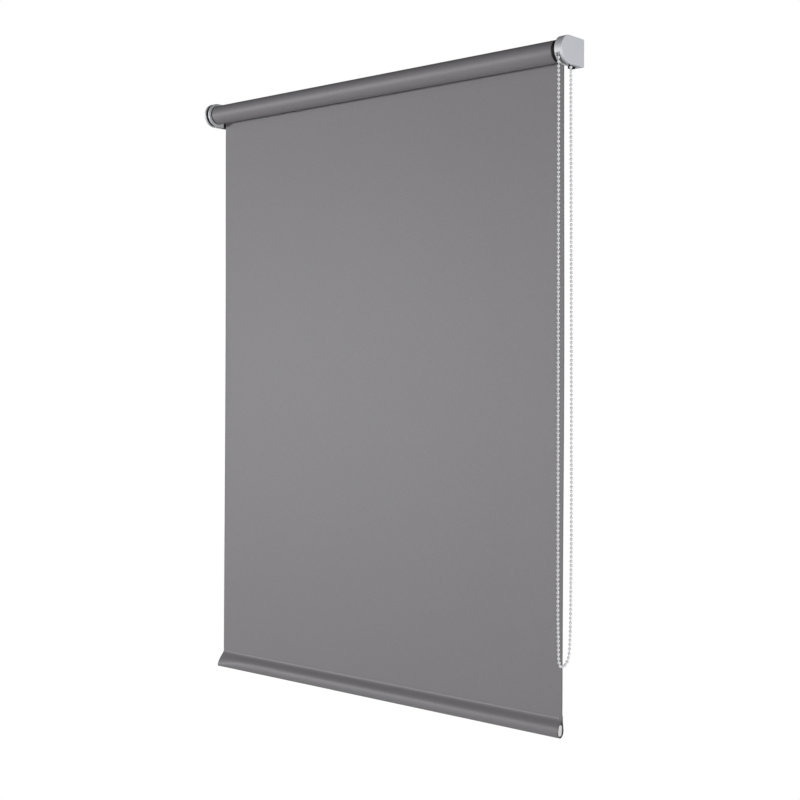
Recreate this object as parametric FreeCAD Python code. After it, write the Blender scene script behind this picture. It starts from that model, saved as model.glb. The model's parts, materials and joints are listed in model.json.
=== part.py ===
import FreeCAD, Part
import math
import os

from FreeCAD import Vector

# Roller blind with a bead-chain clutch, fixed to a wall or a window frame.
#
# +X runs along the roller towards the chain end, -Y points into the room and +Z is up. The origin is the
# middle of the four screw holes, on the wall's surface. Most shapes are laid out from the roller's axis,
# so a "y" below is counted from that axis, towards the wall. The two end caps are mirror images. Their
# pieces are laid out by "u", the distance outwards from the inboard face of the cap's inner plate.

os.makedirs("parts", exist_ok=True)

# Driving dimensions, in millimetres.
FABRIC_WIDTH = 700.0
DROP = 945.7  # roller axis down to the lower edge of the hem
AXIS_TO_WALL = 36.0
FABRIC_THICKNESS = 0.45
FABRIC_LAYERS = 4  # turns left on the tube when the blind is down
SHEET_LEAN = 4.6  # the rolled cloth keeps a curl, so the hem hangs this far in front of the tangent
TUBE_RADIUS = 14.0
TUBE_WALL = 1.1
CAP_RADIUS = 19.5
CAP_WALL = 1.5
CAP_CORNER = 2.0
PLATE = 1.6  # thickness of the caps' inner plates and outer faces
CHAIN_GAP = 5.2  # width of the chain's space between the inner plate and the outer lip
LIP = 5.6  # from the chain's space to the outside of the face
CONTROL_GAP = 7.8  # from the cloth's edge to the inner plate, at the chain end
IDLE_GAP = 1.9  # the same at the other end
BEAD_RADIUS = 2.25
BEAD_PITCH = 6.0
WHEEL_POCKETS = 15
SCREW_HOLE_RADIUS = 2.1
SCREW_SPACING = 24.0
HEM_HEIGHT = 28.7
BAR_HEIGHT = 15.6
BAR_DEPTH = 8.0

# Clearances between pieces that move past each other.
RUNNING = 0.08  # radial, a shaft in its bore
FREE = 0.3  # everything else
TINY = 1e-6  # when comparing places

# Worked out from the driving dimensions.
ROLL_RADIUS = TUBE_RADIUS + FABRIC_LAYERS * FABRIC_THICKNESS
TUBE_BORE = TUBE_RADIUS - TUBE_WALL
CAP_WIDTH = PLATE + CHAIN_GAP + LIP
PITCH_RADIUS = BEAD_PITCH / 2 / math.sin(math.pi / WHEEL_POCKETS)
AXIS_Y = -AXIS_TO_WALL
MIDDLE_X = (IDLE_GAP - CONTROL_GAP) / 2  # the cloth is off centre between the brackets
EDGE_X = MIDDLE_X + FABRIC_WIDTH / 2
FAR_EDGE_X = MIDDLE_X - FABRIC_WIDTH / 2
CONTROL_X = EDGE_X + CONTROL_GAP
IDLE_X = FAR_EDGE_X - IDLE_GAP
GAP_U = PLATE  # the chain's space starts here
LIP_U = PLATE + CHAIN_GAP
SLOT_END_U = LIP_U + 1.4  # the slot in the rim is wider, and shows the black disc beside the chain
GROOVE_END_U = LIP_U + 2.2  # the same for the idle cap's open groove
NOTCH_U = (LIP_U + 3.0, LIP_U + 4.2)
SLOT_TOP_Z = -5.9
CHAIN_U = PLATE + CHAIN_GAP / 2
FACE_U = CAP_WIDTH - PLATE
WALL_Y = AXIS_TO_WALL  # the wall, counted from the axis

# Brackets: a steel angle inside each cap.
STEEL = 2.0
BRACKET_U = (FACE_U - 0.2 - STEEL, FACE_U - 0.2)
BRACKET_RADIUS = CAP_RADIUS - CAP_WALL - 0.4
FLANGE_U = PLATE + 0.4
SCREW_U = (FLANGE_U + BRACKET_U[1]) / 2
KEY = 9.0  # square key of the hub and of the idle bearing, in the bracket's square hole

# Rear chain guide, black, at the bottom of each cap.
GUIDE_Y = (13.0, 22.2)
GUIDE_TOP_Z = -11.0
GUIDE_DROP = 3.0  # the guide stands this far below the cap at the chain end
CHANNEL = 3.2  # from the rear strand to the guide's wall behind it

# Clutch, chain wheel and drive plug. Negative u is inside the tube.
HUB_DISC_RADIUS = 17.7
SHAFT_RADIUS = 7.0
SHAFT_END_U = -27.0
TIP_RADIUS = 3.5
TIP_END_U = -33.0
CLIP_U = (-31.6, -30.8)
CLIP_GROOVE_RADIUS = 2.8
CLIP_RADIUS = 5.2
WHEEL_U = (GAP_U + 0.35, LIP_U - 0.35)
WHEEL_RADIUS = PITCH_RADIUS - 0.85
POCKET_RADIUS = BEAD_RADIUS + 0.15
BEARING_END_U = -7.0  # the wheel's sleeve runs on the shaft this far in
SLEEVE_END_U = -24.0
SLEEVE_RADIUS = 10.0
SPRING_SPACE_RADIUS = 9.2
WINDOW_ANGLE = 150.0  # opening in the sleeve, where the springs' tangs stand
SPRING_WIRE = 1.1
TANG_ANGLE = 60.0  # each side of the window's middle
SPRING_TURNS = 4 + TANG_ANGLE / 180
SPRING_STARTS_U = (-16.0, -23.2)
TANG_REACH = 10.4
PLUG_BORE = 10.8
PLUG_RADIUS = 12.8
PLUG_FLANGE_RADIUS = 15.6
PLUG_WEB_U = (-30.2, -27.4)
TUBE_RIB = (2.0, 0.9)  # width and height of the ribs inside the tube
PLATE_HOLE = 11.6

# Idle end.
PIN_RADIUS = 3.0
PIN_NOSE_U = 6.9
TAIL_RADIUS = 2.0
COLLAR_RADIUS = 4.8
COLLAR_U = (-10.0, -8.0)
IDLE_WEB_U = (-31.0, -28.5)
SPRING_POCKET = 5.4
PIN_SPRING_RADIUS = 3.4
PIN_SPRING_WIRE = 0.8
PIN_SPRING_TURNS = 7
BUSH_RADIUS = 6.0
GROOVE_DEPTH = 1.8  # the black bearing block lies this far inside the idle cap's rim
IDLE_RIM = 1.2  # width added to the idle inner plate along its front edge

# Hem pocket, as (y, height above the hem's lower edge): the two layers and the bar between them.
SHEET_END_Y = ROLL_RADIUS + FREE - SHEET_LEAN
POCKET_FRONT_Y = 1.0
POCKET_BACK_Y = 14.8
POCKET_FOOT_Y = 6.5
POCKET_MID_HEIGHT = 12.7
SEAM_HEIGHT = 1.5
BAR_CENTRE = (7.2, 12.0)
BAR_TILT = 6.0  # degrees, the lower edge towards the room
BAR_WALL = 1.2
BAR_INSET = 2.0
END_CAP = 1.4

# The chain's free length hangs in the plane of the wheel. Each point is (y, z) from the roller's axis:
# the front strand, the narrow bottom turn and the rear strand.
CHAIN_EXIT_Z = -12.5
CHAIN_ROUTE = [
    (-14.6, CHAIN_EXIT_Z),
    (-17.2, -742.0),
    (-15.6, -815.0),
    (-14.6, -839.8),
    (-2.0, -842.6),
    (9.4, -834.0),
    (12.9, -812.0),
    (14.4, -768.0),
    (16.9, -595.0),
    (14.7, CHAIN_EXIT_Z),
]
STRING_RADIUS = 0.8


# Helpers ------------------------------------------------------------------------------------------


def at(x, y, z):
    """Turn a point counted from the roller's axis into one in the part's frame."""
    return Vector(x, AXIS_Y + y, z)


def rod(x0, x1, radius):
    """Round bar along the roller's axis."""
    return Part.makeCylinder(radius, x1 - x0, at(x0, 0, 0), Vector(1, 0, 0))


def ring(x0, x1, outer, inner):
    """Round tube along the roller's axis."""
    return rod(x0, x1, outer).cut(rod(x0 - 1, x1 + 1, inner))


def block(xs, ys, zs):
    """Box between two x, two y (from the axis) and two z."""
    return Part.makeBox(xs[1] - xs[0], ys[1] - ys[0], zs[1] - zs[0], at(xs[0], ys[0], zs[0]))


def turned(shape, degrees):
    """The shape turned about the roller's axis."""
    copy = shape.copy()
    copy.rotate(at(0, 0, 0), Vector(1, 0, 0), degrees)
    return copy


def loop_solid(edges, length):
    """Extrude a closed outline of edges along X."""
    return Part.Face(Part.Wire(edges)).extrude(Vector(length, 0, 0))


def cap_solid(u0, u1, inset=0.0, back=WALL_Y, corner=0.0):
    """D-shaped block: a half circle towards the room and a flat back towards the wall."""
    radius = CAP_RADIUS - inset
    top, front, bottom = at(u0, 0, radius), at(u0, -radius, 0), at(u0, 0, -radius)
    back_top, back_bottom = at(u0, back, radius), at(u0, back, -radius)
    solid = loop_solid(
        [
            Part.Arc(top, front, bottom).toShape(),
            Part.makeLine(bottom, back_bottom),
            Part.makeLine(back_bottom, back_top),
            Part.makeLine(back_top, top),
        ],
        u1 - u0,
    )
    if not corner:
        return solid
    along_x = [e for e in solid.Edges if e.BoundBox.ZLength < TINY]
    return solid.makeFillet(corner, [e for e in along_x if e.BoundBox.YMin > AXIS_Y + back - TINY])


def soften_face(solid, u, radius):
    """Round the outline of the flat face at x = u."""
    flat = [e for e in solid.Edges if e.BoundBox.XLength < TINY]
    return solid.makeFillet(radius, [e for e in flat if abs(e.BoundBox.XMin - u) < TINY])


def coil(u0, radius, wire, pitch, turns):
    """Round-wire helix about the roller's axis, from x = u0 towards +X, that starts at its lowest point."""
    path = Part.makeHelix(pitch, pitch * turns, radius)
    start = Part.Wire(Part.makeCircle(wire / 2, Vector(radius, 0, 0), Vector(0, 1, 0)))
    spring = Part.Wire(path.Edges).makePipeShell([start], True, True)
    spring.rotate(Vector(0, 0, 0), Vector(0, 1, 0), 90)
    spring.translate(at(u0, 0, 0))
    return spring


def at_control_end(shape):
    """Move a cap-frame shape to the chain end."""
    return shape.translated(Vector(CONTROL_X, 0, 0))


def at_idle_end(shape):
    """Mirror a cap-frame shape and move it to the idle end."""
    return shape.mirror(Vector(0, 0, 0), Vector(1, 0, 0)).translated(Vector(IDLE_X, 0, 0))


def save(name, shape):
    """Check the piece and write its STEP file."""
    if not shape.isValid() or not shape.Solids:
        raise ValueError(f"{name} is not a valid solid")
    shape.exportStep(f"parts/{name}.step")
    print(f"{name}: {len(shape.Solids)} solid(s), {shape.Volume / 1000:.2f} cm3")


# End caps -----------------------------------------------------------------------------------------


def cover(slot_end, slot_y, slot_z):
    """Outer half of a cap: a face and a rim, cut away up to slot_end where slot_y and slot_z say."""
    back = WALL_Y - FREE
    shell = soften_face(cap_solid(GAP_U, CAP_WIDTH, 0, back, CAP_CORNER), CAP_WIDTH, 0.9)
    shell = shell.cut(cap_solid(GAP_U - 1, FACE_U, CAP_WALL, back + 5))
    shell = shell.cut(block((GAP_U - 1, slot_end), slot_y, slot_z))
    shell = shell.cut(block((GAP_U - 1, LIP_U), GUIDE_Y, (-CAP_RADIUS - 1, 0)))
    return shell.cut(block(NOTCH_U, (3.0, 6.0), (-CAP_RADIUS - 1, -CAP_RADIUS + 0.6)))


def inner_plate(hole):
    """Inner half of a cap: a flat plate with a round hole and a notch for the chain guide."""
    plate = soften_face(cap_solid(0, PLATE, 0, WALL_Y - FREE, CAP_CORNER), 0, 0.5)
    plate = plate.cut(rod(-1, PLATE + 1, hole))
    notch_y = (GUIDE_Y[0] - 0.2, GUIDE_Y[1] + 0.2)
    return plate.cut(block((-1, PLATE + 1), notch_y, (-CAP_RADIUS - 1, GUIDE_TOP_Z)))


def front_rim():
    """Strip that makes the front half of the idle inner plate's edge look thicker."""
    rim = cap_solid(PLATE, PLATE + IDLE_RIM, 0, 0.1).cut(cap_solid(0, CAP_WIDTH, CAP_WALL, 5))
    return rim.cut(block((0, CAP_WIDTH), (-0.1, 1), (-CAP_RADIUS, CAP_RADIUS + 1)))


def bracket():
    """Steel angle: a side plate with a square hole for the key, and a flange with two screw holes."""
    side = cap_solid(BRACKET_U[0], BRACKET_U[1], CAP_RADIUS - BRACKET_RADIUS, WALL_Y)
    flange = block((FLANGE_U, BRACKET_U[1]), (WALL_Y - STEEL, WALL_Y), (-BRACKET_RADIUS, BRACKET_RADIUS))
    angle = side.fuse(flange).removeSplitter()
    half = KEY / 2 + 0.1
    angle = angle.cut(block((BRACKET_U[0] - 1, BRACKET_U[1] + 1), (-half, half), (-half, half)))
    for z in (-SCREW_SPACING / 2, SCREW_SPACING / 2):
        hole_start = at(SCREW_U, WALL_Y - STEEL - 1, z)
        angle = angle.cut(Part.makeCylinder(SCREW_HOLE_RADIUS, STEEL + 2, hole_start, Vector(0, 1, 0)))
    return angle


def guide_block(below):
    """Square block at the bottom of a cap, in the notch of the inner plate."""
    return block((0.2, LIP_U - 0.2), GUIDE_Y, (-CAP_RADIUS - below, GUIDE_TOP_Z - 0.2))


def chain_guard():
    """Black guide behind the wheel that keeps the rear strand from the wall, open towards the room."""
    guard = cap_solid(GAP_U + 0.2, LIP_U - 0.2, CAP_WALL + 0.2, WALL_Y - 9)
    guard = guard.cut(block((0, CAP_WIDTH), (-CAP_RADIUS, 2.0), (-CAP_RADIUS, CAP_RADIUS)))
    guard = guard.fuse(guide_block(GUIDE_DROP))
    guard = guard.cut(rod(-1, CAP_WIDTH, PITCH_RADIUS + BEAD_RADIUS + 0.4))
    strand_y = CHAIN_ROUTE[-1][0]
    channel_u = (CHAIN_U - BEAD_RADIUS - 0.35, CAP_WIDTH)
    channel = block(channel_u, (0, strand_y + CHANNEL), (-CAP_RADIUS - 9, 0))
    return guard.cut(channel).removeSplitter()


def idle_block():
    """Black bearing block of the idle end, seen in the open groove of the cap."""
    body = cap_solid(GAP_U + 0.2, BRACKET_U[0] - 0.1, GROOVE_DEPTH, WALL_Y - 9)
    body = body.fuse(guide_block(0)).removeSplitter()
    key = block((BRACKET_U[0] - 0.1, BRACKET_U[1]), (-KEY / 2, KEY / 2), (-KEY / 2, KEY / 2))
    body = body.fuse(key)
    return body.cut(rod(0, BRACKET_U[0] - 1.2, BUSH_RADIUS))


def idle_bush():
    """White flanged bush that the idle pin turns in."""
    sleeve = rod(GAP_U + 0.2, BRACKET_U[0] - 1.2, BUSH_RADIUS)
    flange = rod(GAP_U - 0.8, GAP_U + 0.2, BUSH_RADIUS + 1.2)
    return sleeve.fuse(flange).cut(rod(0, CAP_WIDTH, PIN_RADIUS + RUNNING))


# Clutch and chain wheel -----------------------------------------------------------------------------


def clutch_hub():
    """Fixed post of the clutch: a disc, a key in the bracket, a shaft and a tip with a clip groove."""
    disc = rod(LIP_U, BRACKET_U[0] - 0.1, HUB_DISC_RADIUS)
    key = block((BRACKET_U[0] - 0.1, BRACKET_U[1]), (-KEY / 2, KEY / 2), (-KEY / 2, KEY / 2))
    shaft = rod(SHAFT_END_U, LIP_U, SHAFT_RADIUS)
    groove = ring(CLIP_U[0], CLIP_U[1], TIP_RADIUS + 1, CLIP_GROOVE_RADIUS)
    tip = rod(TIP_END_U, SHAFT_END_U, TIP_RADIUS).cut(groove)
    return disc.fuse([key, shaft, tip])


def hub_clip():
    """Spring-steel clip in the groove of the hub's tip, open at one side."""
    clip = ring(CLIP_U[0] + 0.1, CLIP_U[1] - 0.1, CLIP_RADIUS, CLIP_GROOVE_RADIUS + 0.05)
    mouth = block((CLIP_U[0] - 1, CLIP_U[1] + 1), (-1.6, 1.6), (0, CLIP_RADIUS + 1))
    return clip.cut(mouth)


def pocket_angles():
    """Angles of the wheel's pockets from +Y towards +Z, one of them where the front strand leaves."""
    return [180.0 - k * 360.0 / WHEEL_POCKETS for k in range(WHEEL_POCKETS)]


def chain_wheel():
    """Chain wheel with a pocket for each bead, and the sleeve that reaches in to the springs."""
    wheel = rod(WHEEL_U[0], WHEEL_U[1], WHEEL_RADIUS)
    wheel = wheel.fuse(rod(SLEEVE_END_U, WHEEL_U[0], SLEEVE_RADIUS))
    wheel = wheel.cut(rod(SLEEVE_END_U - 1, LIP_U, SHAFT_RADIUS + RUNNING))
    wheel = wheel.cut(rod(SLEEVE_END_U - 1, BEARING_END_U, SPRING_SPACE_RADIUS))
    half = math.radians(WINDOW_ANGLE / 2)
    reach = 2 * SLEEVE_RADIUS
    y, z = reach * math.cos(half), reach * math.sin(half)
    corners = [(0, 0), (y, z), (reach, z), (reach, -z), (y, -z), (0, 0)]
    outline = Part.makePolygon([at(SLEEVE_END_U - 1, *corner) for corner in corners])
    window = Part.Face(outline).extrude(Vector(BEARING_END_U - SLEEVE_END_U - 1, 0, 0))
    wheel = wheel.cut(window)
    pocket = Part.makeSphere(POCKET_RADIUS, at(CHAIN_U, PITCH_RADIUS, 0))
    return wheel.cut([turned(pocket, angle) for angle in pocket_angles()])


def wrap_spring():
    """Wrap spring round the hub's shaft, with a tang at each end that stands in the sleeve's window."""
    radius = SHAFT_RADIUS + FREE + SPRING_WIRE / 2
    pitch = SPRING_WIRE + 0.15
    spring = turned(coil(0, radius, SPRING_WIRE, pitch, SPRING_TURNS), 90 - TANG_ANGLE)
    root = radius - SPRING_WIRE / 4
    for u, angle in ((0, -TANG_ANGLE), (pitch * SPRING_TURNS, TANG_ANGLE)):
        tang = Part.makeCylinder(SPRING_WIRE / 2, TANG_REACH - root, at(u, root, 0), Vector(0, 1, 0))
        spring = spring.fuse(turned(tang, angle))
    return spring


def tube_rib_slots(u0, u1):
    """Two slots that let a plug slide over the ribs inside the tube."""
    width, height = TUBE_RIB
    half = width / 2 + 0.2
    slot = block((u0, u1), (TUBE_BORE - height - 0.2, TUBE_RADIUS), (-half, half))
    return [turned(slot, 90), turned(slot, 270)]


def drive_plug():
    """Black plug that the springs turn: a wide flange and a ribbed body inside the tube."""
    edge = -CONTROL_GAP
    plug = rod(edge + FREE, -FREE, PLUG_FLANGE_RADIUS)
    plug = plug.fuse(rod(PLUG_WEB_U[0], edge + FREE, PLUG_RADIUS - 0.4))
    rib = block((PLUG_WEB_U[0], edge + FREE), (PLUG_RADIUS - 1.4, PLUG_RADIUS), (-0.8, 0.8))
    plug = plug.fuse([turned(rib, 22.5 + 45 * k) for k in range(8)])
    plug = plug.cut(rod(PLUG_WEB_U[1], 1, PLUG_BORE))
    plug = plug.cut(rod(PLUG_WEB_U[0] - 1, PLUG_WEB_U[1] + 1, TIP_RADIUS + RUNNING))
    plug = plug.cut(tube_rib_slots(PLUG_WEB_U[0] - 1, edge))
    key = block((PLUG_WEB_U[1], SLEEVE_END_U + 14), (SLEEVE_RADIUS - 0.2, PLUG_BORE + 0.5), (-2.0, 2.0))
    return plug.fuse(key).removeSplitter()


# Idle end -------------------------------------------------------------------------------------------


def idle_plug():
    """Black plug of the idle end, bored for the sprung pin and its spring."""
    edge = -IDLE_GAP
    plug = rod(edge + 0.2, -FREE, PLUG_FLANGE_RADIUS)
    plug = plug.fuse(rod(IDLE_WEB_U[0], edge + 0.2, PLUG_RADIUS - 0.4))
    rib = block((IDLE_WEB_U[0], edge + 0.2), (PLUG_RADIUS - 1.4, PLUG_RADIUS), (-0.8, 0.8))
    plug = plug.fuse([turned(rib, 22.5 + 45 * k) for k in range(8)])
    plug = plug.cut(rod(COLLAR_U[1] + FREE - 1, 1, PIN_RADIUS + RUNNING))
    plug = plug.cut(rod(IDLE_WEB_U[1], COLLAR_U[1] + FREE, SPRING_POCKET))
    plug = plug.cut(rod(IDLE_WEB_U[0] - 1, IDLE_WEB_U[1] + 1, TAIL_RADIUS + RUNNING))
    return plug.cut(tube_rib_slots(IDLE_WEB_U[0] - 1, edge)).removeSplitter()


def idle_pin():
    """Sprung steel pin: a nose in the bush, a collar that the spring pushes, and a guided tail."""
    nose = rod(COLLAR_U[1], PIN_NOSE_U, PIN_RADIUS)
    nose = nose.makeChamfer(0.8, [e for e in nose.Edges if e.BoundBox.XMin > PIN_NOSE_U - TINY])
    collar = rod(COLLAR_U[0], COLLAR_U[1], COLLAR_RADIUS)
    tail = rod(IDLE_WEB_U[0] - 1, COLLAR_U[0], TAIL_RADIUS)
    return nose.fuse([collar, tail])


def idle_pin_spring():
    """Compression spring between the plug's web and the pin's collar."""
    start = IDLE_WEB_U[1] + PIN_SPRING_WIRE / 2 + 0.1
    room = COLLAR_U[0] - PIN_SPRING_WIRE / 2 - 0.1 - start
    return coil(start, PIN_SPRING_RADIUS, PIN_SPRING_WIRE, room / PIN_SPRING_TURNS, PIN_SPRING_TURNS)


# Roller and cloth -------------------------------------------------------------------------------------


def roller_tube():
    """Aluminium tube with two ribs inside that turn the plugs."""
    width, height = TUBE_RIB
    tube = ring(FAR_EDGE_X, EDGE_X, TUBE_RADIUS, TUBE_BORE)
    rib_y = (TUBE_BORE - height, TUBE_BORE + TUBE_WALL / 2)
    rib = block((FAR_EDGE_X, EDGE_X), rib_y, (-width / 2, width / 2))
    return tube.fuse([turned(rib, 90), turned(rib, 270)]).removeSplitter()


def fixing_tape():
    """Double-sided tape along the tube, under the first turn of cloth."""
    thickness, half_angle, inset = 0.2, 22.0, 4.0
    tape = ring(FAR_EDGE_X + inset, EDGE_X - inset, TUBE_RADIUS + thickness, TUBE_RADIUS)
    reach = 2 * TUBE_RADIUS
    spread = reach * math.tan(math.radians(half_angle))
    corners = [(0, 0), (-spread, reach), (spread, reach), (0, 0)]
    sector = Part.Face(Part.makePolygon([at(FAR_EDGE_X, y, z) for y, z in corners]))
    return tape.common(sector.extrude(Vector(FABRIC_WIDTH, 0, 0)))


def fabric_roll(tape):
    """The turns of cloth left on the tube, as one sleeve."""
    return ring(FAR_EDGE_X, EDGE_X, ROLL_RADIUS, TUBE_RADIUS).cut(tape)


def hem_z(height):
    """Height above the hem's lower edge, as z."""
    return height - DROP


def fabric_sheet():
    """The hanging cloth, from the back of the roll down to the hem, as a plain sheet."""
    top_y = ROLL_RADIUS + FREE
    bottom = hem_z(HEM_HEIGHT) + FREE
    corners = [
        (top_y, 0.0),
        (SHEET_END_Y, bottom),
        (SHEET_END_Y + FABRIC_THICKNESS, bottom),
        (top_y + FABRIC_THICKNESS, 0.0),
        (top_y, 0.0),
    ]
    outline = Part.makePolygon([at(FAR_EDGE_X, y, z) for y, z in corners])
    return Part.Face(outline).extrude(Vector(FABRIC_WIDTH, 0, 0))


def pocket_profile(x, inset, length):
    """Drop-shaped outline of the hem pocket: two arcs that meet at the seam and at the foot."""
    seam_z = hem_z(HEM_HEIGHT - SEAM_HEIGHT - 1.5 * inset)
    foot = at(x, POCKET_FOOT_Y, hem_z(inset))
    front_seam = at(x, SHEET_END_Y + inset, seam_z)
    back_seam = at(x, SHEET_END_Y + 2 * FABRIC_THICKNESS - inset / 2, seam_z)
    front = Part.Arc(front_seam, at(x, POCKET_FRONT_Y + inset, hem_z(POCKET_MID_HEIGHT)), foot)
    back = Part.Arc(foot, at(x, POCKET_BACK_Y - inset, hem_z(POCKET_MID_HEIGHT + 1)), back_seam)
    return loop_solid([front.toShape(), back.toShape(), Part.makeLine(back_seam, front_seam)], length)


def hem_pocket():
    """Sewn pocket at the foot of the cloth, open at both ends."""
    pocket = pocket_profile(FAR_EDGE_X, 0.0, FABRIC_WIDTH)
    pocket = pocket.cut(pocket_profile(FAR_EDGE_X - 1, FABRIC_THICKNESS, FABRIC_WIDTH + 2))
    seam_ys = (SHEET_END_Y, SHEET_END_Y + 2 * FABRIC_THICKNESS)
    seam = block((FAR_EDGE_X, EDGE_X), seam_ys, (hem_z(HEM_HEIGHT - SEAM_HEIGHT), hem_z(HEM_HEIGHT)))
    return pocket.fuse(seam).removeSplitter()


def bar_solid(x0, x1, inset):
    """Flat bar with round edges, tilted about its own middle."""
    half_height, half_depth = BAR_HEIGHT / 2 - inset, BAR_DEPTH / 2 - inset
    straight = half_height - half_depth
    y, z = BAR_CENTRE[0], hem_z(BAR_CENTRE[1])
    front_top, back_top = at(x0, y - half_depth, z + straight), at(x0, y + half_depth, z + straight)
    front_foot, back_foot = at(x0, y - half_depth, z - straight), at(x0, y + half_depth, z - straight)
    bar = loop_solid(
        [
            Part.Arc(front_top, at(x0, y, z + half_height), back_top).toShape(),
            Part.makeLine(back_top, back_foot),
            Part.Arc(back_foot, at(x0, y, z - half_height), front_foot).toShape(),
            Part.makeLine(front_foot, front_top),
        ],
        x1 - x0,
    )
    bar.rotate(at(x0, y, z), Vector(1, 0, 0), -BAR_TILT)
    return bar


def hem_bar():
    """Hollow aluminium weight bar inside the pocket."""
    x0, x1 = FAR_EDGE_X + BAR_INSET, EDGE_X - BAR_INSET
    return bar_solid(x0, x1, 0).cut(bar_solid(x0 - 1, x1 + 1, BAR_WALL))


def bar_end_caps():
    """White cap in each end of the weight bar."""
    caps = []
    for edge, inwards in ((FAR_EDGE_X, 1), (EDGE_X, -1)):
        bar_end = edge + inwards * BAR_INSET
        face = sorted((bar_end, bar_end - inwards * END_CAP))
        stem = sorted((bar_end, bar_end + inwards * 8))
        caps.append(bar_solid(*face, 0).fuse(bar_solid(*stem, BAR_WALL)))
    return Part.makeCompound(caps)


# Chain ------------------------------------------------------------------------------------------------


def chain_loop():
    """The chain's free length as one plain tube: straight runs joined by tangent arcs."""
    x = CONTROL_X + CHAIN_U
    points = [at(x, y, z) for y, z in CHAIN_ROUTE]
    edges, start, length = [], points[0], 0.0
    for before, corner, after in zip(points, points[1:], points[2:]):
        into, out = corner - before, after - corner
        turn = into.getAngle(out)
        setback = 0.45 * min(into.Length, out.Length)
        radius = setback / math.tan(turn / 2)
        into.normalize()
        out.normalize()
        arc_start, arc_end = corner - into * setback, corner + out * setback
        towards = out - into
        towards.normalize()
        middle = corner + towards * (radius / math.cos(turn / 2) - radius)
        edges.append(Part.LineSegment(start, arc_start).toShape())
        edges.append(Part.Arc(arc_start, middle, arc_end).toShape())
        length += (arc_start - start).Length + radius * turn
        start = arc_end
        print(f"  chain turn {math.degrees(turn):.1f} degrees, radius {radius:.1f} mm")
    edges.append(Part.LineSegment(start, points[-1]).toShape())
    length += (points[-1] - start).Length
    section = Part.Wire(Part.makeCircle(BEAD_RADIUS, points[0], points[1] - points[0]))
    tube = Part.Wire(edges).makePipeShell([section], True, False)
    expected = math.pi * BEAD_RADIUS**2 * length
    print(f"  chain tube {length:.1f} mm long, volume {tube.Volume:.0f} of {expected:.0f} mm3")
    return tube


def seated_chain():
    """The stretch of chain that lies over the wheel, down to where the free length starts."""
    x = CONTROL_X + CHAIN_U
    front, top, rear = at(x, -PITCH_RADIUS, 0), at(x, 0, PITCH_RADIUS), at(x, PITCH_RADIUS, 0)
    foot_z = CHAIN_EXIT_Z + FREE
    front_foot, rear_foot = at(x, -PITCH_RADIUS, foot_z), at(x, PITCH_RADIUS, foot_z)
    path = Part.Wire([
        Part.makeLine(front_foot, front),
        Part.Arc(front, top, rear).toShape(),
        Part.makeLine(rear, rear_foot),
    ])
    section = Part.Wire(Part.makeCircle(STRING_RADIUS, front_foot, Vector(0, 0, 1)))
    string = path.makePipeShell([section], True, False)
    beads = [
        turned(Part.makeSphere(BEAD_RADIUS, at(x, PITCH_RADIUS, 0)), angle)
        for angle in pocket_angles()
        if 0 <= angle <= 180
    ]
    hanging = [front - Vector(0, 0, BEAD_PITCH)]
    hanging += [rear - Vector(0, 0, BEAD_PITCH * (k + 0.5)) for k in range(2)]
    return string.fuse(beads + [Part.makeSphere(BEAD_RADIUS, place) for place in hanging])


# The pieces ---------------------------------------------------------------------------------------------

BELOW = -CAP_RADIUS - 1
tape = fixing_tape()
front_and_below = cover(SLOT_END_U, (BELOW, GUIDE_Y[0] + 1), (BELOW, SLOT_TOP_Z))
whole_front = cover(GROOVE_END_U, (BELOW, 0.0), (BELOW, -BELOW))

save("control_cover", at_control_end(front_and_below))
save("control_inner_plate", at_control_end(inner_plate(PLATE_HOLE)))
save("control_bracket", at_control_end(bracket()))
save("chain_guard", at_control_end(chain_guard()))
save("clutch_hub", at_control_end(clutch_hub()))
save("hub_clip", at_control_end(hub_clip()))
save("chain_wheel", at_control_end(chain_wheel()))
for number, start_u in enumerate(SPRING_STARTS_U, 1):
    save(f"wrap_spring_{number}", at_control_end(wrap_spring().translated(Vector(start_u, 0, 0))))
save("drive_plug", at_control_end(drive_plug()))

save("idle_cover", at_idle_end(whole_front))
save("idle_inner_plate", at_idle_end(inner_plate(BUSH_RADIUS + 1.6).fuse(front_rim())))
save("idle_bracket", at_idle_end(bracket()))
save("idle_block", at_idle_end(idle_block()))
save("idle_bush", at_idle_end(idle_bush()))
save("idle_plug", at_idle_end(idle_plug()))
save("idle_pin", at_idle_end(idle_pin()))
save("idle_pin_spring", at_idle_end(idle_pin_spring()))

save("roller_tube", roller_tube())
save("fixing_tape", tape)
save("fabric_roll", fabric_roll(tape))
save("fabric_sheet", fabric_sheet())
save("hem_pocket", hem_pocket())
save("hem_bar", hem_bar())
save("bar_end_caps", bar_end_caps())

save("seated_chain", seated_chain())
save("chain_loop", chain_loop())
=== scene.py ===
"""Looks of a roller blind: woven cloth on its roller, a sewn hem, silver end caps and a bead chain.

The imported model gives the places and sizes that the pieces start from. Lengths are in metres, +X runs along
the roller towards the chain end, -Y points into the room and +Z is up.
"""

import json
import logging
import math
from dataclasses import dataclass, field
from enum import Enum
from typing import Any, Callable, Iterable, Sequence

import bpy
from mathutils import Matrix, Vector, noise


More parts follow.
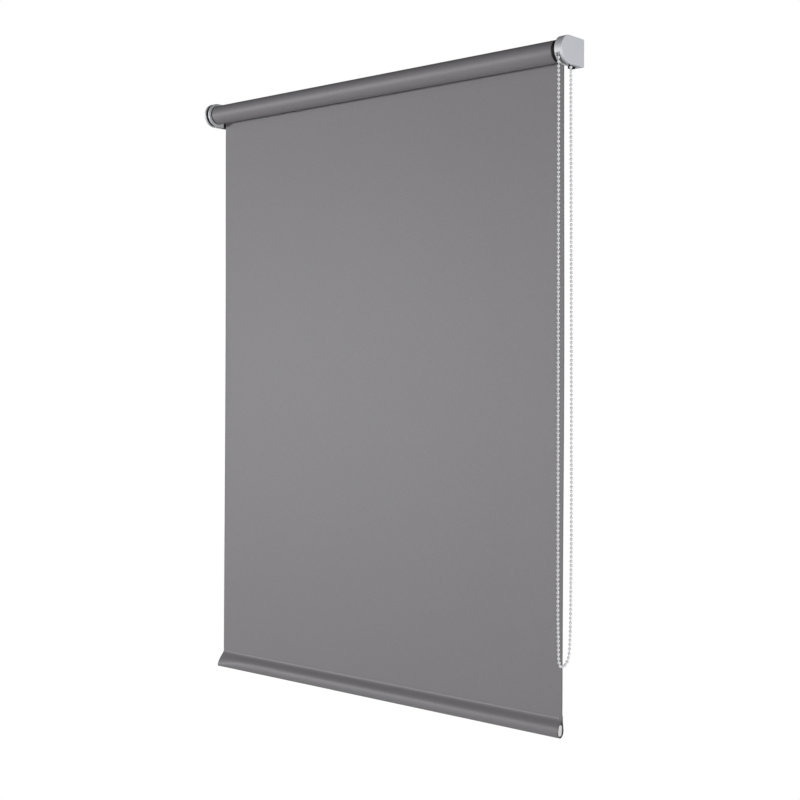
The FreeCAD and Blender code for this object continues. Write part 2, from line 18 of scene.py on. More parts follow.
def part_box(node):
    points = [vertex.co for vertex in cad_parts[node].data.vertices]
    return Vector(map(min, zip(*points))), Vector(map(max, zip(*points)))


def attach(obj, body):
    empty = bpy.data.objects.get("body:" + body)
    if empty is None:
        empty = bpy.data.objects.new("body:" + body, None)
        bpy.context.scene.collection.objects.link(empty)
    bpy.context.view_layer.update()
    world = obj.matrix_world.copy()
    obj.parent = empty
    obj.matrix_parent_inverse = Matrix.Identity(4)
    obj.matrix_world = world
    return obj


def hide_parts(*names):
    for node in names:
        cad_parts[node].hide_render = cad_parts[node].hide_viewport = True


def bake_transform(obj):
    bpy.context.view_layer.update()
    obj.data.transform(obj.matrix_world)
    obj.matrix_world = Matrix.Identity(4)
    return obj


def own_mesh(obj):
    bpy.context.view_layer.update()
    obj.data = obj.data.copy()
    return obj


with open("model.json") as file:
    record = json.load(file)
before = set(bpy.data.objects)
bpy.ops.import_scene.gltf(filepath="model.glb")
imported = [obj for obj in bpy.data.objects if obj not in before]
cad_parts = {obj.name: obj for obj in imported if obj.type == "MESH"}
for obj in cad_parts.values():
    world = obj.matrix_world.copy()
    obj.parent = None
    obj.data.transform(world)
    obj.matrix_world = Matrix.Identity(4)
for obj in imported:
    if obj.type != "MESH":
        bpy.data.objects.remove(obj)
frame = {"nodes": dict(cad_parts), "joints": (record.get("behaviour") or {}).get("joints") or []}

log = logging.getLogger("blind")
MM = 0.001
CLOTH_UV = "cloth"

Colour = tuple[float, float, float]
Place = Callable[[float, float], tuple[Vector, tuple[float, float]]]
Settings = dict[Any, Any]


# Geometry helpers --------------------------------------------------------------------------------------


def clear_selection() -> None:
    """Leave edit mode if it is on, and deselect every object."""
    if bpy.context.object is not None and bpy.context.object.mode != "OBJECT":
        bpy.ops.object.mode_set(mode="OBJECT")
    bpy.ops.object.select_all(action="DESELECT")


def select_only(obj: bpy.types.Object) -> None:
    """Make one object the selected and active one."""
    clear_selection()
    obj.select_set(True)
    bpy.context.view_layer.objects.active = obj


def apply_modifier(obj: bpy.types.Object, kind: str, **settings: Any) -> None:
    """Add a modifier and apply it at once.

    Args:
        obj: The mesh object.
        kind: Blender's type name of the modifier.
        **settings: Values set on the modifier before it is applied.
    """
    select_only(obj)
    modifier = obj.modifiers.new(kind.title(), kind)
    for name, value in settings.items():
        setattr(modifier, name, value)
    bpy.ops.object.modifier_apply(modifier=modifier.name)


def settle(obj: bpy.types.Object) -> None:
    """Move an object's place, turn and scale into its mesh."""
    obj.data.transform(obj.matrix_basis)
    obj.matrix_basis = Matrix.Identity(4)


def smooth(obj: bpy.types.Object, angle: float = 40.0) -> None:
    """Shade smooth, with edges sharper than the angle, in degrees, left crisp."""
    select_only(obj)
    bpy.ops.object.shade_smooth_by_angle(angle=math.radians(angle))


def joined(parts: Sequence[bpy.types.Object], name: str) -> bpy.types.Object:
    """Join several objects into one.

    Args:
        parts: The objects; the first one's mesh takes the others in.
        name: The name of the result.

    Returns:
        The joined object.
    """
    select_only(parts[0])
    for part in parts:
        part.select_set(True)
    bpy.ops.object.join()
    parts[0].name = name
    parts[0].data.name = name
    return parts[0]


def laid_cloth(name: str, columns: int, rows: int, thickness: float, place: Place) -> bpy.types.Object:
    """Lay a grid of cloth along a shape and give it its thickness.

    Args:
        name: The piece's name.
        columns: Spans across the cloth.
        rows: Spans along the cloth.
        thickness: The cloth's thickness, half of it to each side.
        place: Gives, for two shares from 0 to 1, the point and the flat cloth's coordinates there.

    Returns:
        The cloth, with a UV map in metres of flat cloth.
    """
    clear_selection()
    bpy.ops.mesh.primitive_grid_add(x_subdivisions=columns, y_subdivisions=rows, size=1.0)
    cloth = bpy.context.object
    cloth.name = cloth.data.name = name
    mesh = cloth.data
    flat: list[tuple[float, float]] = []
    for vertex in mesh.vertices:
        vertex.co, where = place(vertex.co.x + 0.5, vertex.co.y + 0.5)
        flat.append(where)
    while mesh.uv_layers:
        mesh.uv_layers.remove(mesh.uv_layers[0])
    layer = mesh.uv_layers.new(name=CLOTH_UV)
    for loop in mesh.loops:
        layer.data[loop.index].uv = flat[loop.vertex_index]
    apply_modifier(cloth, "SOLIDIFY", thickness=thickness, offset=0.0)
    smooth(cloth, 50.0)
    return cloth


def travel_of(joint: str) -> float:
    """How far a sliding joint goes from rest, in metres."""
    return next(j for j in frame["joints"] if j["name"] == joint)["range_m"][1]


def ease(share: float) -> float:
    """Smooth step from 0 to 1."""
    share = min(1.0, max(0.0, share))
    return share * share * (3 - 2 * share)


def mixed(a: float, b: float, share: float) -> float:
    """Value between a and b."""
    return a + (b - a) * share


def wander(x: float, y: float, seed: float) -> float:
    """Soft irregularity between about -1 and 1."""
    return noise.noise(Vector((x, y, seed)))


# Shader graph ------------------------------------------------------------------------------------------


class Value:
    """A number socket on which Python arithmetic adds Math nodes."""

    def __init__(self, graph: "Graph", socket: bpy.types.NodeSocket) -> None:
        """Wrap a socket of the graph."""
        self.graph = graph
        self.socket = socket

    def _math(self, operation: str, *terms: Any) -> "Value":
        """Add one Math node and return its result."""
        inputs = dict(enumerate(terms))
        return self.graph.node("ShaderNodeMath", {"operation": operation}, inputs).value()

    def __add__(self, other: Any) -> "Value":
        """Sum."""
        return self._math("ADD", self, other)

    __radd__ = __add__

    def __sub__(self, other: Any) -> "Value":
        """Difference."""
        return self._math("SUBTRACT", self, other)

    def __rsub__(self, other: Any) -> "Value":
        """Reflected difference, as in 1 - mask."""
        return self._math("SUBTRACT", other, self)

    def __mul__(self, other: Any) -> "Value":
        """Product."""
        return self._math("MULTIPLY", self, other)

    __rmul__ = __mul__

    def __pow__(self, other: Any) -> "Value":
        """Power."""
        return self._math("POWER", self, other)

    def __abs__(self) -> "Value":
        """Absolute value."""
        return self._math("ABSOLUTE", self)

    def sine(self) -> "Value":
        """Sine of the value in radians."""
        return self._math("SINE", self)

    def clamped(self) -> "Value":
        """The value held between 0 and 1."""
        return self.graph.node("ShaderNodeClamp", {}, {0: self}).value()


@dataclass
class Made:
    """A node just added to a graph."""

    graph: "Graph"
    node: bpy.types.Node

    def value(self, output: int | str = 0) -> Value:
        """An output as a Value."""
        return Value(self.graph, self.node.outputs[output])

    def out(self, output: int | str = 0) -> bpy.types.NodeSocket:
        """An output as a plain socket, for colours and vectors."""
        return self.node.outputs[output]


class Graph:
    """The node graph of one material."""

    def __init__(self, name: str) -> None:
        """Start an empty material of that name."""
        self.material = bpy.data.materials.new(name)
        self.material.use_nodes = True
        self.tree = self.material.node_tree
        self.tree.nodes.clear()

    def node(self, kind: str, settings: Settings | None = None, inputs: Settings | None = None) -> Made:
        """Add a node.

        Args:
            kind: Blender's type name.
            settings: Properties set first; "stops" is a ramp's list of (place, colour).
            inputs: Values, sockets or Values by input name or number.

        Returns:
            The node that was added.
        """
        node = self.tree.nodes.new(kind)
        for name, value in (settings or {}).items():
            if name == "stops":
                ramp = node.color_ramp
                while len(ramp.elements) < len(value):
                    ramp.elements.new(1.0)
                for element, (where, colour) in zip(ramp.elements, value):
                    element.position, element.color = where, (*colour, 1.0)
            else:
                setattr(node, name, value)
        for key, value in (inputs or {}).items():
            if isinstance(value, Value):
                value = value.socket
            if isinstance(value, bpy.types.NodeSocket):
                self.tree.links.new(value, node.inputs[key])
            else:
                node.inputs[key].default_value = value
        return Made(self, node)

    def object_place(self) -> bpy.types.NodeSocket:
        """Coordinates in the part's own frame, in metres."""
        return self.node("ShaderNodeTexCoord").out("Object")

    def scaled(self, vector: bpy.types.NodeSocket, scale: Sequence[float]) -> bpy.types.NodeSocket:
        """The vector with each axis scaled."""
        return self.node("ShaderNodeMapping", {}, {"Vector": vector, "Scale": tuple(scale)}).out()

    def grain(self, vector: bpy.types.NodeSocket, scale: float, detail: float = 3.0) -> Value:
        """Noise of about that many features to the metre, from 0 to 1."""
        inputs = {"Vector": vector, "Scale": scale, "Detail": detail, "Roughness": 0.55}
        return self.node("ShaderNodeTexNoise", {}, inputs).value("Fac")

    def ramp(self, factor: Value, stops: Sequence[tuple[float, Colour]]) -> bpy.types.NodeSocket:
        """Colour from a ramp."""
        return self.node("ShaderNodeValToRGB", {"stops": list(stops)}, {0: factor}).out("Color")

    def mix(self, factor: Any, a: Any, b: Any, how: str = "MIX") -> bpy.types.NodeSocket:
        """Mix two colours."""
        settings = {"data_type": "RGBA", "blend_type": how}
        inputs = {0: factor, 6: self._colour(a), 7: self._colour(b)}
        return self.node("ShaderNodeMix", settings, inputs).out(2)

    @staticmethod
    def _colour(value: Any) -> Any:
        """A colour with its alpha, or the socket as it is."""
        return (*value, 1.0) if isinstance(value, tuple) else value

    def bump(self, height: Value, distance: float, strength: float = 1.0) -> bpy.types.NodeSocket:
        """Normal raised by a height, whose full range stands for the distance in metres."""
        inputs = {"Strength": strength, "Distance": distance, "Height": height}
        return self.node("ShaderNodeBump", {}, inputs).out()

    def surface(self, inputs: dict[str, Any]) -> bpy.types.Material:
        """End the graph in a Principled shader with these inputs."""
        inputs = {**inputs, "Base Color": self._colour(inputs["Base Color"])}
        shader = self.node("ShaderNodeBsdfPrincipled", {}, inputs).out()
        self.node("ShaderNodeOutputMaterial", {}, {"Surface": shader})
        return self.material


# Finishes ----------------------------------------------------------------------------------------------


def scaled_colour(colour: Colour, factor: float) -> Colour:
    """The colour made lighter or darker."""
    return tuple(min(1.0, channel * factor) for channel in colour)  # type: ignore[return-value]


@dataclass(frozen=True)
class WovenCloth:
    """Plain-woven polyester blind cloth, with its weave, slubs and a faint unevenness of dye."""

    name: str
    colour: Colour = (0.256, 0.246, 0.256)
    thread: float = 0.42 * MM
    relief: float = 0.05 * MM
    middle: float = -2.95 * MM  # where the cloth's middle lies along the roller
    half_width: float = 350.0 * MM
    edge_shade_band: float = 2.6 * MM  # painted shade darkens the cut sides over this width
    edge_shade_fade: float = 2.2 * MM
    needle_pitch: float = 0.0  # none in plain cloth
    needle_row: float = 0.0
    needle_reach: float = 1.3 * MM

    def material(self) -> bpy.types.Material:
        """Build the cloth's material on its flat coordinates."""
        g = Graph(self.name)
        flat = g.node("ShaderNodeUVMap", {"uv_map": CLOTH_UV}).out()
        axes = g.node("ShaderNodeSeparateXYZ", {}, {0: flat})
        warp = (axes.value(0) * (math.pi / self.thread)).sine()
        weft = (axes.value(1) * (math.pi / self.thread)).sine()
        over = warp * weft * 0.5 + 0.5
        warp_slub = g.grain(g.scaled(flat, (1.0, 0.06, 1.0)), 1500.0, 2.0)
        weft_slub = g.grain(g.scaled(flat, (0.06, 1.0, 1.0)), 1500.0, 2.0)
        speckle = g.grain(flat, 900.0, 4.0)
        cloud = g.grain(flat, 9.0, 3.0)
        light, dark = scaled_colour(self.colour, 1.25), scaled_colour(self.colour, 0.78)
        threads = over * 0.2 + warp_slub * 0.2 + weft_slub * 0.24 + speckle * 0.36
        tone = g.ramp(threads, [(0.28, dark), (0.5, self.colour), (0.72, light)])
        tone = g.mix(cloud * 0.16, tone, scaled_colour(self.colour, 0.8))
        # painted shade: the colour darkens over a band along each side edge of the cloth
        past_band = abs(axes.value(0) - self.middle) - (self.half_width - self.edge_shade_band)
        edge_shade = (past_band * (1 / self.edge_shade_fade)).clamped()
        tone = g.mix(edge_shade * 0.45, tone, scaled_colour(self.colour, 0.3))
        # painted shade darkens the needle holes along the seam
        if self.needle_pitch:
            tone = g.mix(self.needle_hole_shade(axes) * 0.9, tone, scaled_colour(self.colour, 0.15))
        height = over * 0.7 + abs(warp) * 0.15 + weft_slub * 0.3
        return g.surface({
            "Base Color": tone,
            "Roughness": 0.45 + speckle * 0.12,
            "Specular IOR Level": 0.5,
            "Normal": g.bump(height, self.relief, 0.8),
        })

    def needle_hole_shade(self, axes: Made) -> Value:
        """Mask of painted shade in the pinched spots where the needle went through, between the stitches."""
        beat = (axes.value(0) * (2 * math.pi / self.needle_pitch)).sine() * 0.5 + 0.5
        near = (1 - abs(axes.value(1) - self.needle_row) * (1 / self.needle_reach)).clamped()
        return (beat**3.0) * near


@dataclass(frozen=True)
class SatinLacquer:
    """Satin silver lacquer on moulded plastic: fine flake, soft orange peel and brighter worn edges."""

    colour: Colour = (0.64, 0.655, 0.68)
    worn_colour: Colour = (0.78, 0.79, 0.8)
    metallic: float = 0.45
    roughness: float = 0.6
    flakes: float = 9000.0  # to the metre

    def material(self) -> bpy.types.Material:
        """Build the lacquer's material."""
        g = Graph("satin_lacquer")
        place = g.object_place()
        cells = {"Vector": place, "Scale": self.flakes}
        flake = g.node("ShaderNodeTexVoronoi", {"feature": "F1"}, cells).value("Distance")
        cloud = g.grain(place, 60.0, 3.0)
        peel = g.grain(place, 1400.0, 2.0)
        edge = g.node("ShaderNodeNewGeometry").value("Pointiness")
        worn = ((edge - 0.52) * 9.0).clamped()
        light, dark = scaled_colour(self.colour, 1.12), scaled_colour(self.colour, 0.93)
        tone = g.ramp(flake, [(0.0, light), (0.8, dark)])
        tone = g.mix(cloud * 0.12, tone, scaled_colour(self.colour, 0.82))
        tone = g.mix(worn * 0.35, tone, self.worn_colour)
        return g.surface({
            "Base Color": tone,
            "Metallic": self.metallic,
            "Roughness": self.roughness + peel * 0.08 - worn * 0.05,
            "Coat Weight": 0.05,
            "Coat Roughness": 0.45,
            "Normal": g.bump(peel, 0.02 * MM, 0.25),
        })


@dataclass(frozen=True)
class MouldedPlastic:
    """Injection-moulded plastic with a fine spark-eroded grain and handling marks."""

    name: str
    colour: Colour
    roughness: float = 0.5
    grain: float = 0.02 * MM
    subsurface: float = 0.0
    specular: float = 0.5

    def material(self) -> bpy.types.Material:
        """Build the plastic's material."""
        g = Graph(self.name)
        place = g.object_place()
        fine = g.grain(place, 5200.0, 2.0)
        flow = g.grain(g.scaled(place, (1.0, 0.35, 1.0)), 140.0, 4.0)
        marks = g.grain(place, 420.0, 5.0)
        tone = g.mix(flow * 0.3, self.colour, scaled_colour(self.colour, 0.78))
        tone = g.mix(((marks - 0.6) * 3.0).clamped() * 0.25, tone, scaled_colour(self.colour, 1.35))
        return g.surface({
            "Base Color": tone,
            "Roughness": self.roughness + marks * 0.16 - 0.08,
            "Specular IOR Level": self.specular,
            "Subsurface Weight": self.subsurface,
            "Subsurface Radius": (0.8, 0.7, 0.6),
            "Subsurface Scale": 1.0 * MM,
            "Normal": g.bump(fine, self.grain, 0.5),
        })


@dataclass(frozen=True)
class DrawnMetal:
    """Bare or plated metal with streaks along one axis, soft blotches and a trace of oil."""

    name: str
    colour: Colour
    roughness: float = 0.34
    streak: tuple[float, float, float] = (0.03, 1.0, 1.0)
    fineness: float = 2600.0

    def material(self) -> bpy.types.Material:
        """Build the metal's material."""
        g = Graph(self.name)
        place = g.object_place()
        lines = g.grain(g.scaled(place, self.streak), self.fineness, 3.0)
        blotch = g.grain(place, 85.0, 4.0)
        tone = g.mix(lines * 0.5, scaled_colour(self.colour, 0.82), scaled_colour(self.colour, 1.1))
        tone = g.mix(((blotch - 0.55) * 2.5).clamped() * 0.3, tone, scaled_colour(self.colour, 0.7))
        return g.surface({
            "Base Color": tone,
            "Metallic": 1.0,
            "Roughness": self.roughness + lines * 0.12 + blotch * 0.1 - 0.1,
            "Normal": g.bump(lines, 0.012 * MM, 0.4),
        })


@dataclass(frozen=True)
class SewingThread:
    """Twisted polyester thread, lighter than the cloth so that the seam shows."""

    colour: Colour = (0.8, 0.79, 0.8)
    twist: float = 0.5 * MM

    def material(self) -> bpy.types.Material:
        """Build the thread's material, with plies that run aslant."""
        g = Graph("sewing_thread")
        place = g.object_place()
        axes = g.node("ShaderNodeSeparateXYZ", {}, {0: place})
        ply = ((axes.value(0) + axes.value(2) * 0.8) * (2 * math.pi / self.twist)).sine() * 0.5 + 0.5
        fibre = g.grain(place, 6000.0, 3.0)
        tone = g.mix(ply, scaled_colour(self.colour, 0.6), scaled_colour(self.colour, 1.25))
        tone = g.mix(fibre * 0.3, tone, self.colour)
        return g.surface({
            "Base Color": tone,
            "Roughness": 0.6 + fibre * 0.2,
            "Sheen Weight": 0.3,
            "Normal": g.bump(ply * 0.7 + fibre * 0.3, 0.05 * MM, 0.7),
        })


@dataclass(frozen=True)
class PaleFloor:
    """Pale, matt studio floor."""

    colour: Colour = (0.86, 0.86, 0.86)

    def material(self) -> bpy.types.Material:
        """Build the floor's material."""
        g = Graph("pale_floor")
        cloud = g.grain(g.object_place(), 1.6, 4.0)
        tone = g.mix(cloud * 0.15, self.colour, scaled_colour(self.colour, 0.93))
        return g.surface({"Base Color": tone, "Roughness": 0.85 + cloud * 0.1})


class Finish(Enum):
    """Every finish of the blind, by the maker's name for it."""

    CLOTH = WovenCloth("woven_cloth")
    SEWN_CLOTH = WovenCloth("sewn_cloth", needle_pitch=4.8 * MM, needle_row=-1.2 * MM)
    SILVER = SatinLacquer()
    THREAD = SewingThread()
    BLACK_NYLON = MouldedPlastic("black_nylon", (0.011, 0.011, 0.012), 0.62, specular=0.18)
    GREY_ACETAL = MouldedPlastic("grey_acetal", (0.30, 0.31, 0.32), 0.42)
    WHITE_PLASTIC = MouldedPlastic("white_plastic", (0.80, 0.80, 0.79), 0.4)
    BEAD_PLASTIC = MouldedPlastic("bead_plastic", (0.82, 0.82, 0.84), 0.3, 0.008 * MM, 0.15)
    TAPE = MouldedPlastic("tape_film", (0.74, 0.73, 0.68), 0.6)
    ZINC_STEEL = DrawnMetal("zinc_steel", (0.52, 0.53, 0.55), 0.38, (1.0, 1.0, 1.0), 240.0)
    SPRING_WIRE = DrawnMetal("spring_wire", (0.42, 0.42, 0.43), 0.3, (1.0, 0.3, 0.3))
    PIN_STEEL = DrawnMetal("pin_steel", (0.56, 0.56, 0.57), 0.22, (1.0, 0.2, 0.2))
    MILL_ALUMINIUM = DrawnMetal("mill_aluminium", (0.68, 0.69, 0.70), 0.32)

    def made(self) -> bpy.types.Material:
        """The finish's material, built the first time it is asked for."""
        if self.name not in _materials:
            _materials[self.name] = self.value.material()
        return _materials[self.name]


_materials: dict[str, bpy.types.Material] = {}


def dress(obj: bpy.types.Object, finish: Finish) -> None:
    """Give the whole object one finish."""
    obj.data.materials.clear()
    obj.data.materials.append(finish.made())


def dress_node(node: str, finish: Finish) -> None:
    """Give a carried-over node its finish, in each of its material slots."""
    obj = frame["nodes"][node]
    if not obj.material_slots:
        obj.data.materials.append(None)
    for slot in obj.material_slots:
        slot.material = finish.made()
    log.info("dressed %s in %s", node, finish.name.lower())


# Sub-assemblies ----------------------------------------------------------------------------------------


@dataclass
class Roll:
    """Where the roller and its cloth are, read from the frame."""

    left: float
    right: float
    axis_y: float
    radius: float

    @classmethod
    def from_frame(cls) -> "Roll":
        """Read the roll's place from its node."""
        low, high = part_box("fabric_roll")
        return cls(low.x, high.x, (low.y + high.y) / 2, (high.z - low.z) / 2)

    def at(self, x: float, y: float, z: float) -> Vector:
        """A point from its distances behind and above the roller's axis."""
        return Vector((x, self.axis_y + y, z))


@dataclass
class BlindCloth:
    """The turns of cloth on the tube and the sheet that hangs from the back of the roll."""

    roll: Roll
    thickness: float = 0.45 * MM
    turns: int = 4
    facets: int = 72  # spans in one turn
    wound_share: float = 0.96  # of the cloth's thickness, so that the turns stay apart
    tuck: float = math.radians(24.0)  # the sheet comes off the roll over this angle
    clearance: float = 0.2 * MM
    sway: float = 1.2 * MM
    curl: float = 0.7 * MM
    curl_width: float = 9.0 * MM
    seam_gap: float = 0.02 * MM  # between the sheet's foot and the hem
    foot: Vector = field(init=False)

    def __post_init__(self) -> None:
        """Read where the hanging sheet ends."""
        self.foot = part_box("fabric_sheet")[0]

    def roll_point(self, along: float, around: float) -> tuple[Vector, tuple[float, float]]:
        """Point of the wound cloth, from its inner end to where the sheet leaves it at the back."""
        angle = (1 - around) * self.turns * 2 * math.pi
        radius = self.roll.radius - self.thickness / 2 - self.thickness * angle / (2 * math.pi)
        edge = math.copysign(0.08 * MM, along - 0.5) * wander(angle, 3.0 * round(along), 4.0)
        x = mixed(self.roll.left, self.roll.right, along) + (edge if along in (0.0, 1.0) else 0.0)
        radius += 0.03 * MM * wander(x * 14.0, angle * 0.8, 1.5)
        point = self.roll.at(x, radius * math.cos(angle), radius * math.sin(angle))
        return point, (x, -angle * self.roll.radius)

    def build_roll(self) -> bpy.types.Object:
        """Wind the cloth that stays on the tube."""
        thickness = self.thickness * self.wound_share
        piece = laid_cloth("cloth_roll", 90, self.turns * self.facets, thickness, self.roll_point)
        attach(piece, "roller")
        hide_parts("fabric_roll")
        return piece

    def sheet_point(self, across: float, down: float) -> tuple[Vector, tuple[float, float]]:
        """Point of the hanging sheet, from its tuck on the roll to the hem."""
        arc = self.tuck * self.roll.radius
        foot_y = self.foot.y - self.roll.axis_y + self.thickness / 2
        travel = down * (arc - self.foot.z - self.seam_gap)
        x = mixed(self.roll.left, self.roll.right, across)
        if travel < arc:
            angle = self.tuck * (1 - travel / arc)
            proud = mixed(self.thickness / 2 + self.clearance, -self.thickness, ease(angle / self.tuck))
            radius = self.roll.radius + proud
            return self.roll.at(x, radius * math.cos(angle), radius * math.sin(angle)), (x, -travel)
        z = arc - travel
        share = z / self.foot.z
        y = mixed(self.roll.radius + self.thickness / 2 + self.clearance, foot_y, share)
        loose = math.sin(math.pi * share) ** 2
        y += self.sway * loose * (0.9 - wander(x * 2.6, z * 1.9, 0.3))
        y += self.curl * loose * math.exp(-min(x - self.roll.left, self.roll.right - x) / self.curl_width)
        return self.roll.at(x, y, z), (x, -travel)

    def build_sheet(self) -> bpy.types.Object:
        """Hang the sheet from its tuck on the roll down to the hem."""
        piece = laid_cloth("cloth_sheet", 140, 240, self.thickness, self.sheet_point)
        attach(piece, "root")
        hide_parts("fabric_sheet")
        top = self.roll.radius * math.sin(self.tuck)
        anchor = self.roll.at(0.0, self.roll.radius, top)
        keep = 1 - travel_of("hem_lift") / (top - self.foot.z)
        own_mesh(piece)
        flat = (self.roll.right - self.roll.left, self.tuck * self.roll.radius - self.foot.z)
        return piece

    def build(self) -> None:
        """Make both pieces and dress them."""
        for piece in (self.build_roll(), self.build_sheet()):
            dress(piece, Finish.CLOTH)
            log.info("made %s", piece.name)


@dataclass
class Hem:
    """The sewn pocket at the foot of the cloth, its stitches and the weight bar."""

    roll: Roll
    thickness: float = 0.45 * MM
    stitch_pitch: float = 4.8 * MM
    stitch_length: float = 2.7 * MM
    thread_radius: float = 0.42 * MM
    stitch_row: float = 1.2 * MM  # below the top of the pocket
    flap: float = 2.4 * MM  # raw edge of the turned-up cloth, above the stitches at the back
    bellies: tuple[float, float] = (1.2 * MM, 14.3 * MM)  # how far forward and back, from the roller's axis
    flare: float = 3.3 * MM  # the open end away from the chain stands this much further forward
    flare_width: float = 30.0 * MM
    belly: float = 11.5 * MM  # height of the front belly, which is lower at the open end
    belly_drop: float = 4.5 * MM
    rear_belly: float = 13.5 * MM
    fold: float = 6.5 * MM  # the fold's place behind the roller's axis
    rise: float = 1.3 * MM  # of the fold above the box's floor
    stand_off: float = 0.4 * MM  # of the flap's raw edge from the sheet
    spans: tuple[float, ...] = (0.0, 0.31, 0.52, 0.75, 1.0)  # shares of the profile's four bends
    low: Vector = field(init=False)
    high: Vector = field(init=False)

    def __post_init__(self) -> None:
        """Read the pocket's box; its top reaches up to the sheet."""
        self.low, self.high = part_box("hem_pocket")
        self.high.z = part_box("fabric_sheet")[0].z

    @property
    def seam_y(self) -> float:
        """The sheet's middle at the seam, from the roller's axis."""
        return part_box("fabric_sheet")[0].y - self.roll.axis_y + self.thickness / 2

    def bends(self, x: float) -> list[list[tuple[float, float]]]:
        """The pocket's outline at x as four cubic bends, each of four (y, height) points.

        They run from the seam down the front layer to its belly, round to the fold, up to the back layer's
        belly and up to the flap's raw edge.
        """
        left = math.exp(-(((x - self.roll.left) / self.flare_width) ** 1.3))
        front, back = self.bellies
        front += 0.35 * MM * wander(x * 9.0, 0.0, 7.7) - self.flare * left
        back += 0.3 * MM * wander(x * 7.0, 5.0, 3.3) - 1.5 * MM * left
        height = self.high.z - self.low.z
        foot = self.thickness / 2 + 0.2 * MM * (1 + wander(x * 12.0, 2.0, 9.1)) + self.rise + left * MM
        fold = self.fold - 3.0 * MM * left
        seam, rear = self.seam_y, self.seam_y + 1.15 * self.thickness
        lean = (10 + left) * MM
        belly, rear_belly = self.belly - self.belly_drop * left, self.rear_belly
        raw_edge = (rear + self.stand_off, height + self.flap)
        under_seam = (seam, (21.5 + 3 * left) * MM)
        over_belly = (front + 3 * MM * left, belly + lean)
        before_fold = (mixed(front, fold, 0.38), 3.2 * MM)
        return [
            [(seam, height), under_seam, over_belly, (front, belly)],
            [(front, belly), (front - 0.2 * MM, 0.6 * belly), before_fold, (fold, foot)],
            [(fold, foot), (back - 3.5 * MM, foot), (back + 0.7 * MM, 6.0 * MM), (back, rear_belly)],
            [(back, rear_belly), (back - 0.6 * MM, 20 * MM), (rear, 23 * MM), raw_edge],
        ]

    def cloth_point(self, across: float, share: float) -> tuple[Vector, tuple[float, float]]:
        """Point of the hem's cloth and its flat coordinates, which start at the seam."""
        x = mixed(self.roll.left, self.roll.right, across)
        k = min(3, sum(share >= span for span in self.spans[1:]))
        t = (share - self.spans[k]) / (self.spans[k + 1] - self.spans[k])
        weights = ((1 - t) ** 3, 3 * t * (1 - t) ** 2, 3 * t * t * (1 - t), t**3)
        bend = self.bends(x)[k]
        y = sum(weight * point[0] for weight, point in zip(weights, bend))
        z = self.low.z + sum(weight * point[1] for weight, point in zip(weights, bend))
        return self.roll.at(x, y, z), (x, -share * 2.35 * (self.high.z - self.low.z))

    def build_cloth(self) -> bpy.types.Object:
        """Fold the pocket round the bar."""
        piece = laid_cloth("hem_cloth", 150, 72, self.thickness, self.cloth_point)
        dress(piece, Finish.SEWN_CLOTH)
        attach(piece, "hem")
        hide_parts("hem_pocket")
        return piece

    def build_stitches(self) -> bpy.types.Object:
        """Sew a row of stitches along the front and the back of the seam."""
        clear_selection()
        radius = self.thread_radius
        bpy.ops.mesh.primitive_cylinder_add(vertices=6, radius=radius, depth=self.stitch_length * 0.6)
        stitch = bpy.context.object
        bpy.ops.object.mode_set(mode="EDIT")
        bpy.ops.mesh.select_mode(type="FACE")
        for end in (-1, 1):
            bpy.ops.mesh.select_all(action="DESELECT")
            bpy.ops.object.mode_set(mode="OBJECT")
            for face in stitch.data.polygons:
                face.select = face.normal.z * end > 0.9
            bpy.ops.object.mode_set(mode="EDIT")
            bpy.ops.mesh.extrude_region_move(
                TRANSFORM_OT_translate={"value": (0, 0, end * self.stitch_length * 0.2)}
            )
            bpy.ops.transform.resize(value=(0.45, 0.45, 1.0))
        bpy.ops.object.mode_set(mode="OBJECT")
        stitch.data.transform(Matrix.Rotation(math.pi / 2, 4, "Y"))
        seam_z = self.high.z - self.stitch_row
        sunk = self.thickness / 2 + radius * 0.25
        count = int((self.roll.right - self.roll.left) / self.stitch_pitch)
        row: list[bpy.types.Object] = []
        for k in range(count):
            x = self.roll.left + (k + 0.53) * self.stitch_pitch
            for side in (-1, 1):
                copy = stitch.copy()
                copy.data = stitch.data.copy()
                bpy.context.scene.collection.objects.link(copy)
                behind = self.thickness * 1.15 if side > 0 else 0.0
                y = self.seam_y + behind + side * sunk
                slant = 0.06 * side + 0.05 * wander(k * 0.7, side, 2.2)
                spot = self.roll.at(x + side * self.stitch_pitch / 4, y, seam_z)
                copy.data.transform(Matrix.Translation(spot) @ Matrix.Rotation(slant, 4, "Y"))
                row.append(copy)
        bpy.data.objects.remove(stitch)
        piece = joined(row, "hem_stitches")
        smooth(piece, 60.0)
        dress(piece, Finish.THREAD)
        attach(piece, "hem")
        return piece

    def build(self) -> None:
        """Make the cloth and the stitches, and dress the bar."""
        log.info("made %s", self.build_cloth().name)
        log.info("made %s", self.build_stitches().name)
        dress_node("hem_bar", Finish.MILL_ALUMINIUM)
        dress_node("bar_end_caps", Finish.WHITE_PLASTIC)


